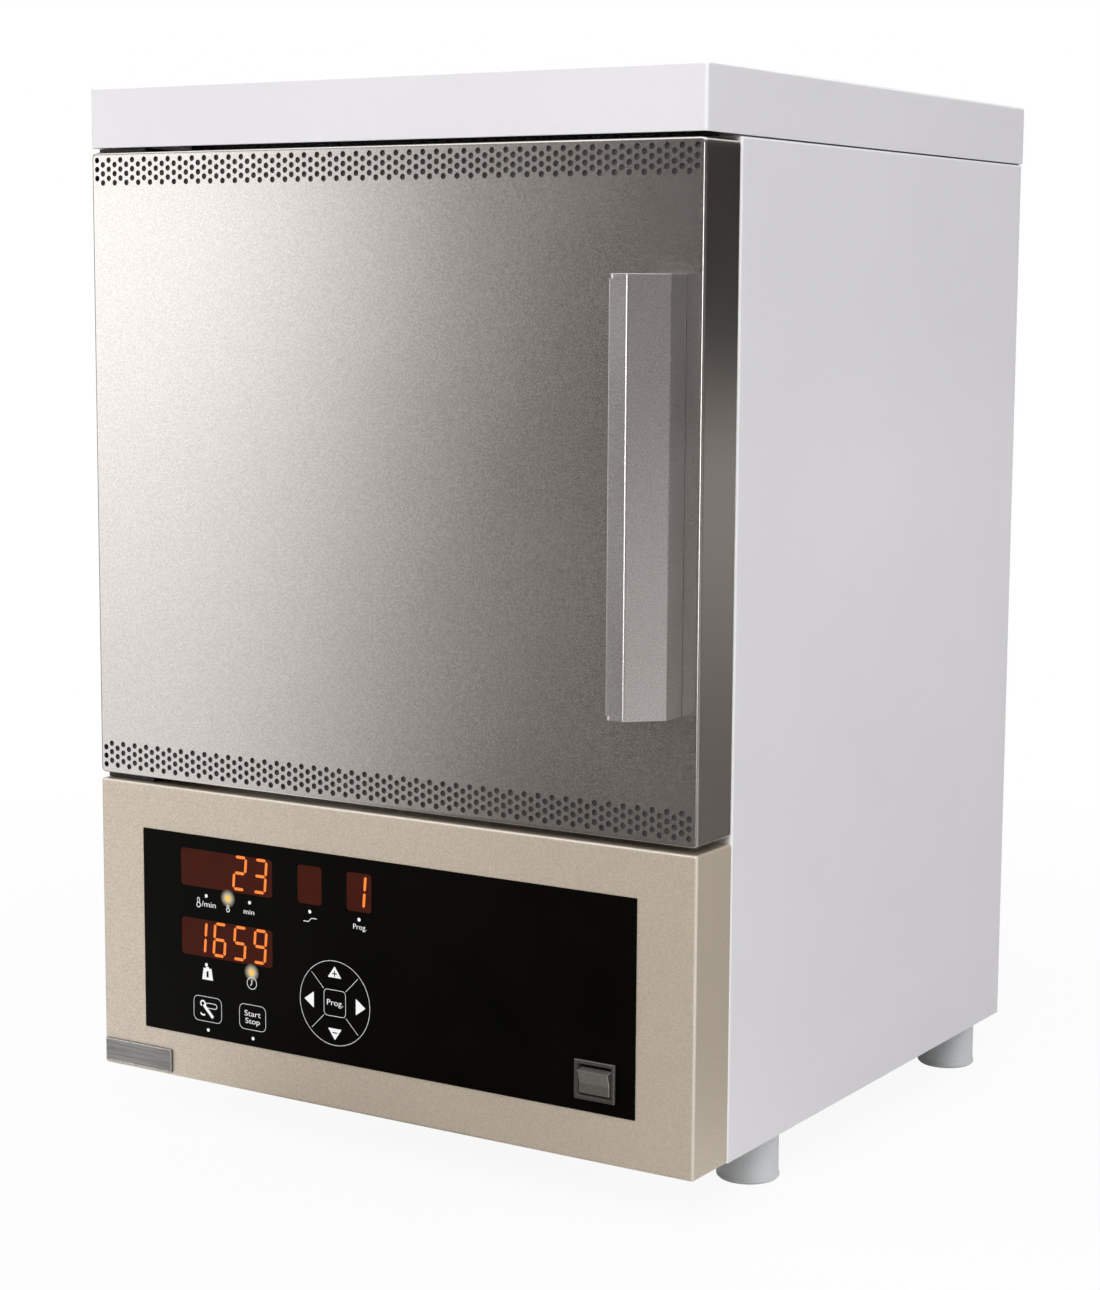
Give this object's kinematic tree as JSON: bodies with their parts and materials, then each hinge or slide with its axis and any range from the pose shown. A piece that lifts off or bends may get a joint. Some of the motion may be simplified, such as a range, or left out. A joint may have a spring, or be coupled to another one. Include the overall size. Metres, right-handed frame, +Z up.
{
  "type": "dental lab furnace",
  "caption": "Bench-top sintering furnace: powder-coated casing, insulated side-hinged steel door, heated fibre chamber, control panel with keypad, cooling fan and round feet.",
  "frame": {"origin": "centre of the bounding box's base, on the surface that the feet stand on", "axes": "+Z up, the front with the door faces -Y, +X to the right seen from the front"},
  "size_m": [0.4, 0.4334, 0.5986],
  "materials": {
    "pale_powder_coat": "textured powder coat",
    "satin_steel": "satin grained stainless steel",
    "zinc_plate": "dull zinc plate",
    "satin_aluminium": "satin anodised",
    "beige_powder_coat": "textured powder coat",
    "black_panel": "satin film",
    "red_filter": "smooth, dark red",
    "green_board": "solder resist",
    "grey_plastic": "fine moulded texture",
    "dark_plastic": "satin moulded",
    "white_fibre": "vacuum-formed ceramic fibre",
    "alumina": "fired, unglazed",
    "element_rod": "dark, slightly glossy oxide film",
    "dark_core": "varnished",
    "display_glow": "lit display digits and lamps",
    "print_white": "printed legends"
  },
  "bodies": {
    "casing": {"badge_plate": "zinc_plate", "base_pan": "zinc_plate", "control_board": "green_board", "control_panel": "black_panel", "display_filter": "red_filter", "door_magnet": "dark_core", "door_seal": "white_fibre", "door_sensor": "dark_plastic", "element_holder_left": "alumina", "element_holder_right": "alumina", "fan_housing": "dark_plastic", "fascia": "beige_powder_coat", "foot_front_left": "grey_plastic", "foot_front_right": "grey_plastic", "foot_rear_left": "grey_plastic", "foot_rear_right": "grey_plastic", "front_frame": "satin_steel", "furnace_deck": "zinc_plate", "hearth_plate": "alumina", "heating_element_left_front": "element_rod", "heating_element_left_rear": "element_rod", "heating_element_right_front": "element_rod", "heating_element_right_rear": "element_rod", "hinge_bracket_bottom": "zinc_plate", "hinge_bracket_top": "zinc_plate", "hinge_pin_bottom": "zinc_plate", "hinge_pin_top": "zinc_plate", "inner_casing": "zinc_plate", "insulation_back": "white_fibre", "insulation_floor": "white_fibre", "insulation_left": "white_fibre", "insulation_right": "white_fibre", "insulation_roof": "white_fibre", "lid": "pale_powder_coat", "mains_inlet": "dark_plastic", "power_controller": "satin_aluminium", "rear_panel": "zinc_plate", "side_panel_left": "pale_powder_coat", "side_panel_right": "pale_powder_coat", "switch_bezel": "dark_plastic", "thermocouple": "alumina", "transformer": "dark_core"},
    "door": {"door_back": "satin_steel", "door_core": "white_fibre", "door_handle": "satin_aluminium", "door_plug": "white_fibre", "door_skin": "satin_steel", "handle_cap_bottom": "satin_aluminium", "handle_cap_top": "satin_aluminium", "handle_screw_bottom": "zinc_plate", "handle_screw_top": "zinc_plate"},
    "rocker": {"power_rocker": "grey_plastic"},
    "fan": {"fan_rotor": "dark_plastic"},
    "key_down": {"key_down": "black_panel"},
    "key_left": {"key_left": "black_panel"},
    "key_program": {"key_program": "black_panel"},
    "key_right": {"key_right": "black_panel"},
    "key_service": {"key_service": "black_panel"},
    "key_start_stop": {"key_start_stop": "black_panel"},
    "key_up": {"key_up": "black_panel"}
  },
  "joints": [
    {"name": "door_hinge", "type": "hinge", "parent": "casing", "child": "door", "pos_m": [-0.193, -0.17275, 0.38335], "axis": [0, 0, -1], "range_deg": [0, 110]},
    {"name": "rocker_tilt", "type": "hinge", "parent": "casing", "child": "rocker", "pos_m": [0.14105, -0.18365, 0.07368], "axis": [-1, 0, 0], "range_deg": [0, 20]},
    {"name": "fan_spin", "type": "hinge", "parent": "casing", "child": "fan", "pos_m": [-0.09, 0.18645, 0.12], "axis": [0, 1, 0], "continuous": true},
    {"name": "key_down_press", "type": "slide", "parent": "casing", "child": "key_down", "axis": [0, 1, 0], "range_m": [0, 0.0005], "stiffness_N_per_m": 500, "springref_m": -0.0005},
    {"name": "key_left_press", "type": "slide", "parent": "casing", "child": "key_left", "axis": [0, 1, 0], "range_m": [0, 0.0005], "stiffness_N_per_m": 500, "springref_m": -0.0005},
    {"name": "key_program_press", "type": "slide", "parent": "casing", "child": "key_program", "axis": [0, 1, 0], "range_m": [0, 0.0005], "stiffness_N_per_m": 500, "springref_m": -0.0005},
    {"name": "key_right_press", "type": "slide", "parent": "casing", "child": "key_right", "axis": [0, 1, 0], "range_m": [0, 0.0005], "stiffness_N_per_m": 500, "springref_m": -0.0005},
    {"name": "key_service_press", "type": "slide", "parent": "casing", "child": "key_service", "axis": [0, 1, 0], "range_m": [0, 0.0005], "stiffness_N_per_m": 500, "springref_m": -0.0005},
    {"name": "key_start_stop_press", "type": "slide", "parent": "casing", "child": "key_start_stop", "axis": [0, 1, 0], "range_m": [0, 0.0005], "stiffness_N_per_m": 500, "springref_m": -0.0005},
    {"name": "key_up_press", "type": "slide", "parent": "casing", "child": "key_up", "axis": [0, 1, 0], "range_m": [0, 0.0005], "stiffness_N_per_m": 500, "springref_m": -0.0005}
  ]
}
